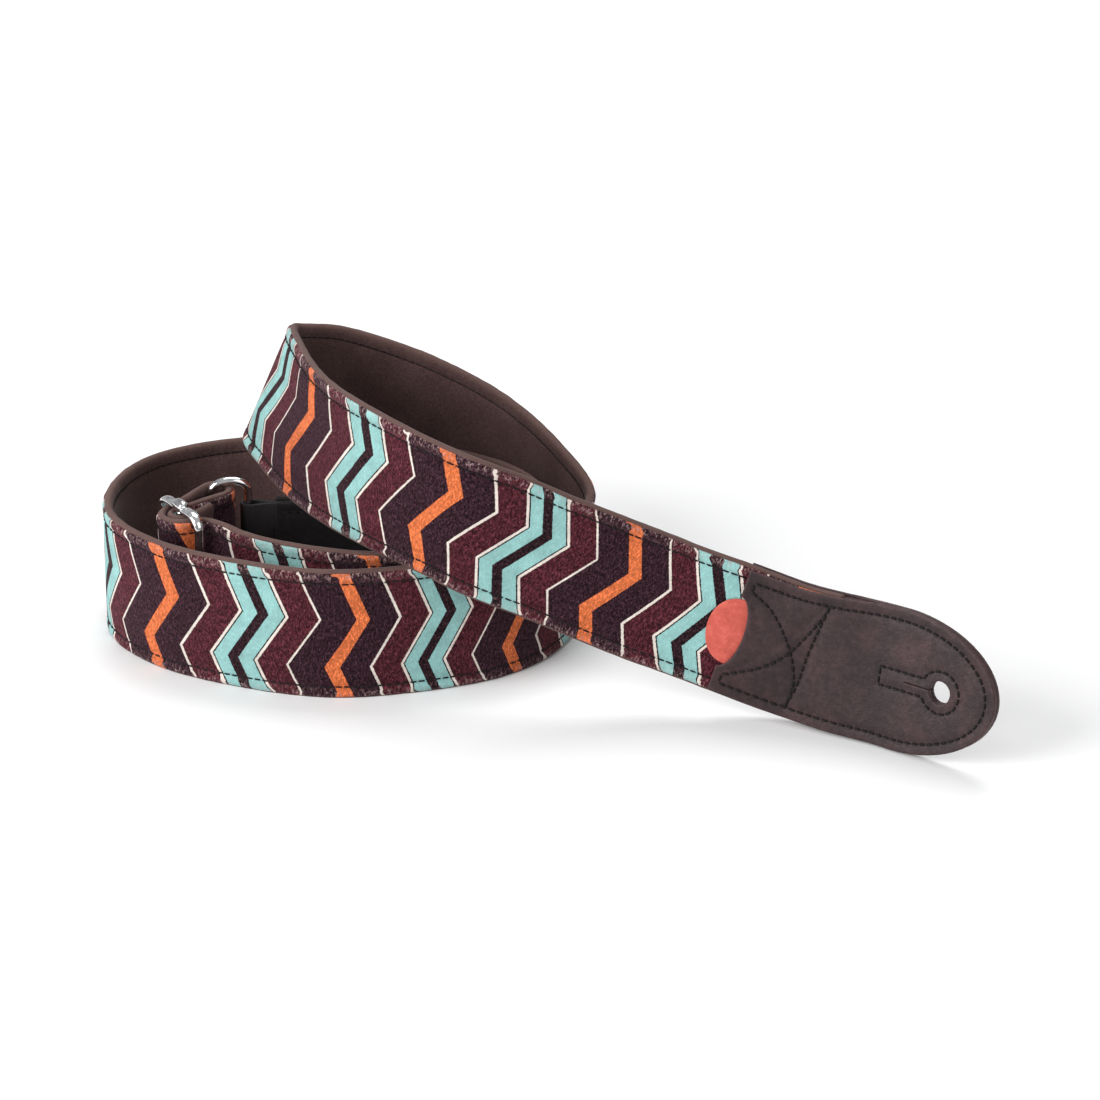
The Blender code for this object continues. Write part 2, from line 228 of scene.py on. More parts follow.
def ramp(tree, factor, stops, interpolation="LINEAR"):
    """A colour ramp from (position, colour) stops."""
    made = step(tree, "ValToRGB", {"Fac": factor})
    made.color_ramp.interpolation = interpolation
    elements = made.color_ramp.elements
    while len(elements) > 1:
        elements.remove(elements[-1])
    for index, (position, colour) in enumerate(stops):
        element = elements[0] if index == 0 else elements.new(position)
        element.position = position
        element.color = (*colour, 1)
    return made.outputs["Color"]


def grey(value):
    return (value, value, value)


def blend(tree, kind, factor, first, second):
    """Two colours mixed."""
    made = step(tree, "Mix", data_type="RGBA", blend_type=kind)
    for index, value in ((0, factor), (6, first), (7, second)):
        if isinstance(value, bpy.types.NodeSocket):
            tree.links.new(value, made.inputs[index])
        elif index == 0:
            made.inputs[index].default_value = value
        else:
            made.inputs[index].default_value = (*value, 1)
    return made.outputs[2]


def speckle(tree, where, scale, detail=3.0, roughness=0.6):
    """Noise from 0 to 1. scale is in spots per metre."""
    sockets = {"Vector": where, "Scale": scale, "Detail": detail, "Roughness": roughness}
    return step(tree, "TexNoise", sockets).outputs["Fac"]


def look(name, **shader_values):
    """A new material, its node tree and its shader, with values the same all over the surface set."""
    made = bpy.data.materials.new(name)
    made.use_nodes = True
    shader = made.node_tree.nodes["Principled BSDF"]
    for socket, value in shader_values.items():
        shader.inputs[socket.replace("_", " ")].default_value = value
    return made, made.node_tree, shader


def finish_look(tree, shader, colour, roughness, height, strength, distance):
    """Links colour, roughness and bump to the shader."""
    bump = step(tree, "Bump", {"Height": height, "Strength": strength, "Distance": distance})
    tree.links.new(colour, shader.inputs["Base Color"])
    tree.links.new(roughness, shader.inputs["Roughness"])
    tree.links.new(bump.outputs["Normal"], shader.inputs["Normal"])


def object_place(tree):
    return step(tree, "TexCoord").outputs["Object"]


# The print's stripes in the order they pass going back along the strap: width in mm and colour.
CREAM = (0.76, 0.68, 0.61)
INK = (0.016, 0.008, 0.010)
TEAL = (0.29, 0.54, 0.52)
NEAR_BLACK = (0.026, 0.012, 0.016)
WINE = (0.088, 0.019, 0.027)
AUBERGINE = (0.036, 0.015, 0.023)
ORANGE = (0.74, 0.18, 0.060)
STRIPES = [
    (2.9, ORANGE),
    (12.4, AUBERGINE),
    (1.1, CREAM),
    (12.2, WINE),
    (1.1, CREAM),
    (0.6, INK),
    (5.8, TEAL),
    (4.6, NEAR_BLACK),
    (6, TEAL),
    (0.6, INK),
    (1.1, CREAM),
    (11.5, WINE),
    (1.1, CREAM),
    (13.4, AUBERGINE),
    (3, ORANGE),
]
# How far the zigzag carries a stripe along, in mm, at each height from the lower edge (0) to the upper (1).
ZIGZAG = [(0.0, 1.5), (0.25, -4.3), (0.63, 8.6), (1.0, 0)]
PERIOD = sum(width for width, _ in STRIPES)


def woven_print():
    """Zigzag stripes printed on a short velvety pile, placed by the strap's own coordinates."""
    sheen = {"Sheen_Weight": 0.12, "Sheen_Roughness": 0.2, "Sheen_Tint": (1, 0.62, 0.66, 1)}
    made, tree, shader = look("woven_print", Specular_IOR_Level=0.05, **sheen)
    place = step(tree, "UVMap", uv_map="strap").outputs["UV"]
    parts = step(tree, "SeparateXYZ", {0: place})
    turns = step(tree, "SeparateXYZ", {0: step(tree, "UVMap", uv_map="print").outputs["UV"]})
    edge = step(tree, "Attribute", attribute_name="rim").outputs["Fac"]

    # The zigzag, with frayed colour edges, and pulled about where the edge is gathered by its stitching.
    top = max(shift for _, shift in ZIGZAG)
    low = min(shift for _, shift in ZIGZAG)
    stops = [(at, grey((shift - low) / (top - low))) for at, shift in ZIGZAG]
    carried = times_plus(tree, ramp(tree, turns.outputs["Y"], stops), (top - low) / PERIOD, low / PERIOD)
    fray = times_plus(tree, speckle(tree, place, 1500, 2), 0.8 / PERIOD, -0.4 / PERIOD)
    pull = times_plus(tree, speckle(tree, place, 190, 1), 9 / PERIOD, -4.5 / PERIOD)
    gathered = maths(tree, "ADD", fray, maths(tree, "MULTIPLY", pull, edge))
    along = maths(tree, "ADD", maths(tree, "SUBTRACT", turns.outputs["X"], carried), gathered)
    phase = maths(tree, "FRACT", along)
    edges = np.cumsum([0] + [width for width, _ in STRIPES])[:-1] / PERIOD
    print_colour = ramp(tree, phase, [(at, colour) for at, (_, colour) in zip(edges, STRIPES)], "CONSTANT")

    # The pile: fine threads both ways, strands across the strap, loose pale fibres and slow worn patches.
    warp = maths(tree, "SINE", maths(tree, "MULTIPLY", parts.outputs["X"], math.tau / 0.00075))
    weft = maths(tree, "SINE", maths(tree, "MULTIPLY", parts.outputs["Y"], math.tau / 0.00062))
    weave = times_plus(tree, maths(tree, "MULTIPLY", warp, weft), 0.06, -0.03)
    strands = step(tree, "VectorMath", {0: place, 1: (1, 0.45, 1)}, operation="MULTIPLY").outputs[0]
    tufts = times_plus(tree, speckle(tree, strands, 760, 2, 0.6), 0.22, 0.0)
    fibres = maths(tree, "ADD", times_plus(tree, speckle(tree, strands, 1500, 4, 0.8), 0.78, 0.0), tufts)
    pile = maths(tree, "ADD", fibres, weave)
    shade = ramp(tree, pile, [(0.41, grey(0.2)), (0.47, grey(0.65)), (0.52, grey(1.15)), (0.58, grey(2.3))])
    lightness = step(tree, "RGBToBW", {0: print_colour}).outputs[0]
    shaded = blend(tree, "MULTIPLY", times_plus(tree, lightness, -1.8, 1.0), print_colour, shade)
    patches = ramp(tree, speckle(tree, place, 120, 3), [(0.3, grey(0.8)), (0.7, grey(1.18))])
    patched = blend(tree, "MULTIPLY", 0.8, shaded, patches)
    loose = ramp(tree, speckle(tree, strands, 2300, 3, 0.7), [(0.56, grey(0)), (0.64, grey(1))])
    lint = blend(tree, "ADD", loose, patched, (0.075, 0.038, 0.045))
    hairs = ramp(tree, speckle(tree, strands, 1000, 4, 0.85), [(0.52, grey(0)), (0.6, grey(0.9))])
    colour = blend(tree, "MIX", maths(tree, "MULTIPLY", edge, hairs), lint, (0.52, 0.34, 0.33))
    roughness = ramp(tree, fibres, [(0.3, grey(0.78)), (0.7, grey(0.95))])
    finish_look(tree, shader, colour, roughness, pile, 0.9, 0.0014)
    return made


def microfibre():
    """Brushed brown suede-like backing, paler along its turned edge."""
    sheen = {"Sheen_Weight": 0.1, "Sheen_Roughness": 0.4}
    made, tree, shader = look("brown_microfibre", Specular_IOR_Level=0.15, **sheen)
    where = object_place(tree)
    nap = speckle(tree, where, 1300, 4, 0.75)
    clouds = speckle(tree, where, 55, 4, 0.55)
    stops = [(0.3, (0.066, 0.036, 0.034)), (0.55, (0.088, 0.050, 0.046)), (0.8, (0.112, 0.068, 0.061))]
    base = ramp(tree, clouds, stops)
    colour = blend(tree, "MULTIPLY", 0.7, base, ramp(tree, nap, [(0.35, grey(0.55)), (0.65, grey(1.45))]))
    edge = step(tree, "Attribute", attribute_name="rim").outputs["Fac"]
    colour = blend(tree, "MIX", maths(tree, "MULTIPLY", edge, nap), colour, (0.105, 0.060, 0.051))
    roughness = ramp(tree, clouds, [(0.3, grey(0.62)), (0.7, grey(0.85))])
    finish_look(tree, shader, colour, roughness, nap, 0.4, 0.0003)
    return made


def leather(name, dark, mid, light, gloss):
    """Waxed leather: pores, creases, colour drift and rubbed edges. gloss is its lowest roughness."""
    made, tree, shader = look(name, Specular_IOR_Level=0.26)
    where = object_place(tree)
    drift = speckle(tree, where, 60, 5, 0.65)
    cells = step(tree, "TexVoronoi", {"Vector": where, "Scale": 1300.0}, feature="SMOOTH_F1")
    creases = speckle(tree, where, 420, 6, 0.7)
    base = ramp(tree, drift, [(0.36, dark), (0.5, mid), (0.64, light)])
    fine = ramp(tree, creases, [(0.36, grey(0.70)), (0.5, grey(0.98)), (0.64, grey(1.35))])
    colour = blend(tree, "MULTIPLY", 0.9, base, fine)
    edge = step(tree, "Attribute", attribute_name="rim").outputs["Fac"]
    worn = maths(tree, "MULTIPLY", edge, maths(tree, "MULTIPLY", creases, 0.8))
    colour = blend(tree, "MIX", worn, colour, tuple(2.2 * part for part in light))
    roughness = ramp(tree, creases, [(0.35, grey(gloss + 0.16)), (0.65, grey(gloss))])
    pores = maths(tree, "MULTIPLY", cells.outputs["Distance"], 0.6)
    grain = maths(tree, "ADD", pores, creases)
    finish_look(tree, shader, colour, roughness, grain, 0.45, 0.0004)
    return made


def thread():
    """Waxed dark thread with its twist."""
    made, tree, shader = look("dark_thread", Specular_IOR_Level=0.2)
    where = object_place(tree)
    sockets = {"Vector": where, "Scale": 900.0, "Distortion": 2.0}
    twist = step(tree, "TexWave", sockets, bands_direction="DIAGONAL").outputs["Fac"]
    colour = ramp(tree, twist, [(0.2, (0.004, 0.003, 0.003)), (0.8, (0.014, 0.010, 0.011))])
    roughness = ramp(tree, speckle(tree, where, 700), [(0.3, grey(0.5)), (0.7, grey(0.75))])
    finish_look(tree, shader, colour, roughness, twist, 0.4, 0.0002)
    return made


def coral_plastic():
    """Matt coral celluloid with a faint cloudy sparkle."""
    coat = {"Coat_Weight": 0.1, "Coat_Roughness": 0.35}
    made, tree, shader = look("coral_plastic", Specular_IOR_Level=0.3, **coat)
    where = object_place(tree)
    clouds = speckle(tree, where, 260, 4, 0.6)
    stops = [(0.3, (0.37, 0.055, 0.037)), (0.52, (0.46, 0.075, 0.052)), (0.75, (0.56, 0.112, 0.080))]
    base = ramp(tree, clouds, stops)
    flecks = ramp(tree, speckle(tree, where, 1500, 2, 0.5), [(0.6, grey(0)), (0.72, grey(1))])
    colour = blend(tree, "MIX", maths(tree, "MULTIPLY", flecks, 0.22), base, (0.86, 0.30, 0.24))
    roughness = ramp(tree, clouds, [(0.3, grey(0.38)), (0.7, grey(0.52))])
    finish_look(tree, shader, colour, roughness, flecks, 0.08, 0.0002)
    return made


def chrome():
    """Polished chrome plate: dark grey to near white patches in its colour are painted reflections, and the
    same patches vary its roughness like faint polishing marks and fingerprints.
    """
    made, tree, shader = look("chrome", Metallic=1.0)
    where = object_place(tree)
    smudge_and_painted_reflection = speckle(tree, where, 240, 4, 0.6)
    # Painted reflections: the colour's dark grey and near white patches stand in for dark and bright things
    # mirrored in the chrome.
    stops = [(0.36, (0.50, 0.49, 0.50)), (0.5, (0.82, 0.82, 0.82)), (0.64, (0.95, 0.95, 0.95))]
    colour = ramp(tree, smudge_and_painted_reflection, stops)
    roughness = ramp(tree, smudge_and_painted_reflection, [(0.35, grey(0.05)), (0.7, grey(0.16))])
    finish_look(tree, shader, colour, roughness, speckle(tree, where, 2600, 2), 0.02, 0.0001)
    return made


def floor_look():
    """A plain pale studio sweep."""
    made, tree, shader = look("studio_floor", Specular_IOR_Level=0.1)
    shade = speckle(tree, object_place(tree), 3, 2)
    colour = ramp(tree, shade, [(0.3, grey(0.78)), (0.7, grey(0.80))])
    roughness = ramp(tree, shade, [(0, grey(0.8)), (1, grey(0.9))])
    finish_look(tree, shader, colour, roughness, shade, 0.0, 0.0001)
    return made


PRINT = woven_print()
MICROFIBRE = microfibre()
BROWN_SHADES = ((0.021, 0.0115, 0.0123), (0.029, 0.0155, 0.0167), (0.041, 0.020, 0.021))
BLACK_SHADES = ((0.005, 0.004, 0.004), (0.007, 0.005, 0.006), (0.010, 0.008, 0.008))
BROWN = leather("brown_leather", *BROWN_SHADES, 0.44)
BLACK = leather("dark_leather", *BLACK_SHADES, 0.5)
THREAD = thread()
CORAL = coral_plastic()
CHROME = chrome()


# Meshes.


def piece(name, points, faces, finish, body, stands_for=(), layers=None, rim=None):
    """A smooth shaded object on a CAD body, from points in mm, standing for some CAD nodes."""
    mesh = bpy.data.meshes.new(name)
    points = (np.asarray(points, float) - (MIDDLE[0], MIDDLE[1], 0)) * MM
    mesh.from_pydata(points.tolist(), [], [tuple(int(corner) for corner in face) for face in faces])
    for layer_name, values in (layers or {}).items():
        corners = np.array([loop.vertex_index for loop in mesh.loops])
        mesh.uv_layers.new(name=layer_name).data.foreach_set("uv", np.asarray(values)[corners].ravel())
    if rim is not None:
        mesh.attributes.new("rim", "FLOAT", "POINT").data.foreach_set("value", rim)
    solid = bmesh.new()
    solid.from_mesh(mesh)
    bmesh.ops.recalc_face_normals(solid, faces=solid.faces[:])
    solid.to_mesh(mesh)
    solid.free()
    mesh.shade_smooth()
    mesh.materials.append(finish)
    made = bpy.data.objects.new(name, mesh)
    bpy.context.scene.collection.objects.link(made)
    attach(made, body)
    if stands_for:
        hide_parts(*stands_for)
    return made


def loft(rings, closed=False):
    """Faces that join equal rings of points, with end caps unless the loft is closed."""
    count = len(rings[0])
    total = len(rings)
    faces = []
    for ring in range(total if closed else total - 1):
        here = ring * count
        there = (ring + 1) % total * count
        for side in range(count):
            other = (side + 1) % count
            faces.append((here + side, here + other, there + other, there + side))
    if not closed:
        faces.append(tuple(range(count))[::-1])
        faces.append(tuple(range((total - 1) * count, total * count)))
    return faces


# How many repeats of the print have passed, and the s in mm at which they have.
REPEATS = [(-1.0, 84), (0.0, 152.5), (1.0, 222), (1.5, 260), (2.0, 305.8), (2.5, 343), (6.0, 569.2)]
REPEATS += [(7.0, 634.2), (8.0, 707.9), (13.0, 1064), (13.5, 1099), (14.0, 1138), (15.0, 1193), (15.7, 1243)]
# Over the standing loop the zigzag's corners lie nearer the upper edge, by these shares of the width.
KINK_PLACES = [150, 210, 330, 560]
KINK_DROPS = [0, 0.07, 0.07, 0]


def repeats_at(s):
    """Minus the repeats of the print before s, as the stripes are listed going back along the strap."""
    counts, places = zip(*REPEATS)
    return -np.interp(s, places, counts)


def puckers(s, size, seed):
    """Small soft lumps along s."""
    return np.array([noise.noise(Vector((at / size, seed, 0.5))) for at in s])


def build_strip(name, profile, stretch, finish, seed, stands_for, rim_from):
    """A stitched, puffed band of the ribbon. profile is the upper half of its section, edge to middle."""
    s = np.arange(stretch[0], stretch[1], 0.75)
    upper = np.array(profile, float)
    lower = upper[::-1][1:] * (-1, 1)
    section = np.vstack([upper, lower])
    round_edge = lengths(section)
    middle = round_edge[len(upper) - 1]
    v = np.broadcast_to(section[:, 0], (len(s), len(section)))
    pressed = np.clip((s - (ribbon.end - 118)) / 20, 0, 1)[:, None]
    n = section[:, 1] * (1 - 0.14 * pressed)
    side = np.sign(section[:, 1]).clip(-1, 1)
    near_line = np.exp(-(((np.abs(section[:, 0]) - STITCH_LINE) / 1.3) ** 2))
    near_edge = np.clip((np.abs(section[:, 0]) - 21.2) / 1.5, 0, 1)
    pinch = 0.10 * np.cos(math.tau * s / STITCH)[:, None] * near_line
    lumps = 0.22 * puckers(s, 4.0, seed)[:, None] * near_edge
    wave = 0.18 * puckers(s, 17.0, seed + 3)[:, None]
    n = n + side * (lumps - pinch + wave * (1 - near_edge) * (np.abs(section[:, 1]) > 1))
    points = ribbon.place(s[:, None], v, n)
    along = np.broadcast_to(s[:, None], v.shape)
    across = np.broadcast_to(middle - round_edge, v.shape)
    height = v / (2 * STRAP_HALF) + 0.5 - np.interp(along, KINK_PLACES, KINK_DROPS)
    layers = {
        "strap": np.stack([along * MM, across * MM], axis=-1).reshape(-1, 2),
        "print": np.stack([repeats_at(along), height], axis=-1).reshape(-1, 2),
    }
    edgeness = np.clip((np.abs(section[:, 0]) - rim_from) / (STRAP_HALF - rim_from), 0, 1)
    rim = np.broadcast_to(edgeness, v.shape).ravel()
    return piece(name, points.reshape(-1, 3), loft(points), finish, "strap", stands_for, layers, rim)


# The face is tucked under the backing's turned edge, which shows as a brown bead along the strap.
FACE_PROFILE = [
    (23.6, 0.3),
    (24.5, 0.6),
    (24.75, 1.1),
    (24.5, 1.6),
    (23.8, 1.92),
    (22.9, 1.97),
    (22.1, 1.86),
    (21.4, 1.6),
    (20.9, 1.38),
    (20.5, 1.3),
    (20.1, 1.38),
    (19.4, 1.58),
    (18.2, 1.7),
    (15.5, 1.76),
    (11, 1.8),
    (5.5, 1.82),
    (0, 1.82),
]
BACK_PROFILE = [
    (23.9, 0.9),
    (24.75, 1.25),
    (25.3, 1.0),
    (25.6, 0.4),
    (25.65, -0.4),
    (25.4, -1.2),
    (24.7, -1.75),
    (23.4, -1.95),
    (22.0, -1.84),
    (21.1, -1.6),
    (20.5, -1.45),
    (19.9, -1.56),
    (19.0, -1.72),
    (17, -1.8),
    (11, -1.82),
    (5.5, -1.82),
    (0, -1.82),
]


def stitch_row(name, line, place, lift, finish, body, stands_for=(), pitch=STITCH, thick=0.32):
    """Stitches along a line of (x, y), each one sinking in at both ends, laid by place(x, y, lift)."""
    line = np.array(line, float)
    far = lengths(line)
    count = max(1, round(far[-1] / pitch))
    centres = (np.arange(count) + 0.5) * far[-1] / count
    spots = centres[:, None] + np.array([-0.43, -0.36, -0.15, 0.15, 0.36, 0.43]) * far[-1] / count
    x = np.interp(spots, far, line[:, 0])
    y = np.interp(spots, far, line[:, 1])
    ahead = np.stack([x[:, -1] - x[:, 0], y[:, -1] - y[:, 0]], axis=-1)
    ahead /= np.linalg.norm(ahead, axis=1)[:, None]
    girth = thick * np.array([0.45, 0.85, 1, 1, 0.85, 0.45])
    height = thick * np.array([-1.0, -0.1, 0.35, 0.35, -0.1, -1.0])
    angles = np.arange(6) * math.tau / 6
    wide = girth[None, :, None] * np.cos(angles)
    tall = girth[None, :, None] * np.sin(angles) + height[None, :, None]
    points = place(
        x[:, :, None] - ahead[:, 1, None, None] * wide,
        y[:, :, None] + ahead[:, 0, None, None] * wide,
        lift(x, y)[:, :, None] + tall,
    )
    one = loft(points[0])
    size = points.shape[1] * points.shape[2]
    faces = [tuple(corner + stitch * size for corner in face) for stitch in range(count) for face in one]
    return piece(name, points.reshape(-1, 3), faces, finish, body, stands_for)


def level(height):
    """A function of (x, y) that is the same height everywhere."""
    return lambda x, y: height + 0 * x


def build_band():
    end = ribbon.end
    stretch = (STRAP_START, end)
    face_nodes = ["strap_face_fabric", "strap_interlining"]
    back_nodes = ["strap_backing"]
    face = build_strip("strap_fabric", FACE_PROFILE, stretch, PRINT, 2.0, face_nodes, 20.6)
    backing = build_strip("strap_microfibre", BACK_PROFILE, stretch, MICROFIBRE, 9.0, back_nodes, 24.0)
    for name, v in (("upper", STITCH_LINE), ("lower", -STITCH_LINE)):
        line = [(s, v) for s in np.arange(TAB_END - 6, end - 36, 2.0)]
        node = "strap_edge_thread_" + name
        for side, lift in (("front", 1.42), ("back", -1.5)):
            row = f"stitches_{side}_{name}"
            stitch_row(row, line, ribbon.place, level(lift), THREAD, "strap", [node])
    tack = [(end - 2, -20), (end - 2, 20), (end - 5, 20), (end - 5, -20)]
    node = "strap_end_tack_thread"
    stitch_row("stitches_end", tack, ribbon.place, level(-1.75), THREAD, "strap", [node])


# Leather pieces are cut flat, with a rounded rim, and then laid on a surface.


def even(loop, gap):
    """The same closed loop with points no more than gap apart."""
    points = []
    for first, second in zip(loop, loop[1:] + loop[:1]):
        steps = max(1, math.ceil(math.dist(first, second) / gap))
        points += [tuple(np.array(first) + (np.array(second) - first) * k / steps) for k in range(steps)]
    return points


def inset(loop, distance):
    """The loop moved to its left by a distance, with mitred corners."""
    points = np.array(loop)
    run = np.roll(points, -1, axis=0) - points
    run /= np.linalg.norm(run, axis=1)[:, None]
    left = np.stack([-run[:, 1], run[:, 0]], axis=1)
    before = np.roll(left, 1, axis=0)
    mitre = (left + before) / (1 + (left * before).sum(axis=1)).clip(0.4)[:, None]
    return points + mitre * distance


def turned(loop, anticlockwise):
    """The loop in the direction asked for."""
    points = np.array(loop)
    area = (points[:, 0] * np.roll(points[:, 1], -1) - np.roll(points[:, 0], -1) * points[:, 1]).sum()
    return loop if (area > 0) == anticlockwise else loop[::-1]


def rim_distance(points, loops):
    """How far each flat point is from the nearest edge."""
    nearest = np.full(len(points), 1e9)
    for loop in loops:
        start = np.array(loop)
        run = np.roll(start, -1, axis=0) - start
        offset = points[:, None] - start
        share = ((offset * run).sum(-1) / (run**2).sum(-1)).clip(0, 1)
        gap = np.linalg.norm(offset - share[..., None] * run, axis=-1)
        nearest = np.minimum(nearest, gap.min(axis=1))
    return nearest


def flat_mesh(loops, rows, grid):
    """A flat mesh inside the loops, with rows of points at set distances from every edge, cut on a grid."""
    flat = bmesh.new()
    inner = []
    for loop in loops:
        rings = [[flat.verts.new((x, y, 0)) for x, y in inset(loop, row)] for row in rows]
        for outer_ring, inner_ring in zip(rings, rings[1:]):
            for side in range(len(loop)):
                other = (side + 1) % len(loop)
                flat.faces.new((outer_ring[side], outer_ring[other], inner_ring[other], inner_ring[side]))
        ring = rings[-1]
        for first, second in zip(ring, ring[1:] + ring[:1]):
            inner.append(flat.edges.get((first, second)) or flat.edges.new((first, second)))
    bmesh.ops.triangle_fill(flat, edges=inner, use_beauty=True, use_dissolve=False)
    corners = np.array(loops[0])
    for axis in range(2):
        normal = [float(axis == 0), float(axis == 1), 0]
        for cut in np.arange(corners[:, axis].min() + grid, corners[:, axis].max() - grid / 2, grid):
            everything = flat.verts[:] + flat.edges[:] + flat.faces[:]
            where = [cut * part for part in normal]
            bmesh.ops.bisect_plane(flat, geom=everything, dist=1e-4, plane_co=where, plane_no=normal)
    bmesh.ops.triangulate(flat, faces=flat.faces[:])
    flat.verts.index_update()
    return flat


def plate(name, outline, holes, top, bottom, radius, grid, place, finish, body, stands_for):
    """A leather or plastic piece from bottom(x, y) to top(x, y), with edges rounded to a radius."""
    loops = [turned(even(outline, 1.0), True)] + [turned(even(hole, 0.8), False) for hole in holes]
    flat = flat_mesh(loops, [0, 0.12 * radius, 0.4 * radius, radius], grid)
    x, y = np.array([corner.co[:2] for corner in flat.verts]).T
    flat_points = np.stack([x, y], axis=1)
    away = rim_distance(flat_points, loops[:1])
    # A hole's edge is rounded over half that distance.
    if holes:
        away = np.minimum(away, 2 * rim_distance(flat_points, loops[1:]))
    drop = radius - np.sqrt(radius**2 - (radius - away).clip(0) ** 2)
    points = np.concatenate([place(x, y, top(x, y) - drop), place(x, y, bottom(x, y) + drop)])
    count = len(x)
    faces = []
    for face in flat.faces:
        corners = [corner.index for corner in face.verts]
        faces.append(tuple(corners))
        faces.append(tuple(index + count for index in reversed(corners)))
    for edge in flat.edges:
        if len(edge.link_faces) == 1:
            first, second = (corner.index for corner in edge.verts)
            faces.append((first, second, second + count, first + count))
    flat.free()
    worn = np.tile(np.exp(-away / 0.5), 2)
    return piece(name, points, faces, finish, body, stands_for, rim=worn)


def tab_outline(tip, half, edge, end, narrowing=0):
    """A tab's outline: down one side, round the tip and back up the other. It narrows towards its end."""
    long, wide = tip - edge, half - edge
    angles = np.linspace(0, math.pi / 2, 24)
    side = [(tip - long * math.cos(a), wide * math.sin(a)) for a in angles]
    reach = half - edge - narrowing
    return [(end, reach), *side[::-1]] + [(x, -y) for x, y in side[1:]] + [(end, -reach)]


def keyhole(slit):
    """The button hole with its slit, as one loop. slit is half the slit's width."""
    gap = math.asin(slit / HOLE_RADIUS)
    angles = np.linspace(gap, math.tau - gap, 40)
    loop = [(HOLE_AT + HOLE_RADIUS * math.cos(a), HOLE_RADIUS * math.sin(a)) for a in angles]
    return loop + [(SLIT_END, -slit), (SLIT_END, slit)]


def keyhole_seam():
    """The stitch line round the button hole and its slit."""
    radius, half, end = 7.8, 3.4, 47.5
    gap = math.asin(half / radius)
    angles = np.linspace(gap, math.tau - gap, 24)
    circle = [(HOLE_AT + radius * math.cos(a), radius * math.sin(a)) for a in angles]
    return [(end, 0), (end, half), *circle, (end, -half), (end, -0.1)]


def eased(x, start, end, low, high):
    """low before start, high after end, and a soft step between."""
    share = ((x - start) / (end - start)).clip(0, 1)
    return low + (high - low) * share**2 * (3 - 2 * share)


POCKET_SEAMS = [
    [(103, 20), (103, 17), (94.5, 13.5), (87, 7.5), (82.5, 1.5), (79.5, -6), (78.6, -12), (80, -21.5)],
    [(103, -20), (103, -17), (92, -9.7), (84, -2), (77, 8), (72, 16), (69.5, 21.5)],
    [(69.7, 21), (72.5, 12), (75.5, 0.5), (77, -9.5), (78.4, -15), (80, -21)],
]


def seam_dip(seams):
    """A function of (x, y) that is the depth stitches pull leather in by."""
    lines = [np.array(even(list(map(tuple, line)), 2.0)) for line in seams]

    def dip(x, y):
        spots = np.stack([np.ravel(x), np.ravel(y)], axis=1)
        nearest = np.full(len(spots), 1e9)
        for line in lines:
            gaps = np.linalg.norm(spots[:, None] - line, axis=-1)
            nearest = np.minimum(nearest, gaps.min(axis=1))
        return (SEAM_DEPTH * np.exp(-((nearest / SEAM_WIDTH) ** 2))).reshape(np.shape(x))

    return dip


def build_tab_a():
    border = tab_outline(40, TAB_HALF, 4, TAB_END - 3, TAB_NARROWING)
    pocket = [list(smooth(line[1:], 8)) for line in POCKET_SEAMS[:2]] + [list(smooth(POCKET_SEAMS[2], 8))]
    dip = seam_dip([border, keyhole_seam(), *pocket])

    def front_top(x, y):
        over_pick = np.exp(-((y / 15) ** 4)) * eased(x, *POCKET_STEP, 0, 1)
        over_end = eased(x, TAB_FLAT, RAMP_END + 6, 2.2, 3.3)
        return over_end + 1.5 * over_pick - dip(x, y)

    def front_bottom(x, y):
        under = eased(x, TAB_FLAT, RAMP_END, 0.2, 2.0)
        pocket_room = np.exp(-((y / 16) ** 4)) * eased(x, *POCKET_STEP, 0, 1)
        return under + 1.2 * pocket_room

    def back_top(x, y):
        return eased(x, TAB_FLAT, RAMP_END, 0.15, -1.95)

    def back_bottom(x, y):
        return eased(x, TAB_FLAT, RAMP_END + 6, -1.8, -3.1) + dip(x, y)

    hole = keyhole(0.1)
    outline = tab_outline(40, TAB_HALF, 0, TAB_END, TAB_NARROWING)
    wide = tab_outline(40, TAB_HALF, 0, TAB_END, 0.5)
    angles = np.linspace(-math.pi / 2, math.pi / 2, 24)
    bite = [(TAB_END - 5.6 * math.cos(a), 14 * math.sin(a)) for a in angles]
    core_end = STRAP_START - 0.2
    core = [(49, -24.8), (core_end, -24.8), (core_end, 24.8), (49, 24.8)]
    place = ribbon.place
    for name, loop, holes, top, bottom, radius, grid, node in (
        ("front", outline + bite, [hole], front_top, front_bottom, 0.55, 1.3, "tab_a_front_leather"),
        ("core", core, [], front_bottom, back_top, 0.1, 1.6, "tab_a_stiffener"),
        ("back", wide, [hole], back_top, back_bottom, 0.55, 1.3, "tab_a_back_leather"),
    ):
        plate("tab_a_" + name, loop, holes, top, bottom, radius, grid, place, BROWN, "strap", [node])

    def on_front(x, y):
        return front_top(x, y) + THREAD_LIFT

    def on_back(x, y):
        return back_bottom(x, y) - THREAD_LIFT

    seams = {
        "border": (border, ["tab_a_border_thread"]),
        "keyhole": (keyhole_seam(), ["tab_a_keyhole_thread"]),
        "pocket_1": ([POCKET_SEAMS[0][0], *pocket[0]], ["tab_a_pocket_thread_1"]),
        "pocket_2": ([POCKET_SEAMS[1][0], *pocket[1]], ["tab_a_pocket_thread_2", "tab_a_pocket_thread_3"]),
        "pocket_3": (pocket[2], ["tab_a_pocket_thread_4"]),
    }
    for name, (line, nodes) in seams.items():
        stitch_row("tab_a_stitches_" + name, line, place, on_front, THREAD, "strap", nodes, thick=0.46)
    for name in ("border", "keyhole"):
        line = seams[name][0]
        stitch_row("tab_a_back_stitches_" + name, line, place, on_back, THREAD, "strap", thick=0.48)


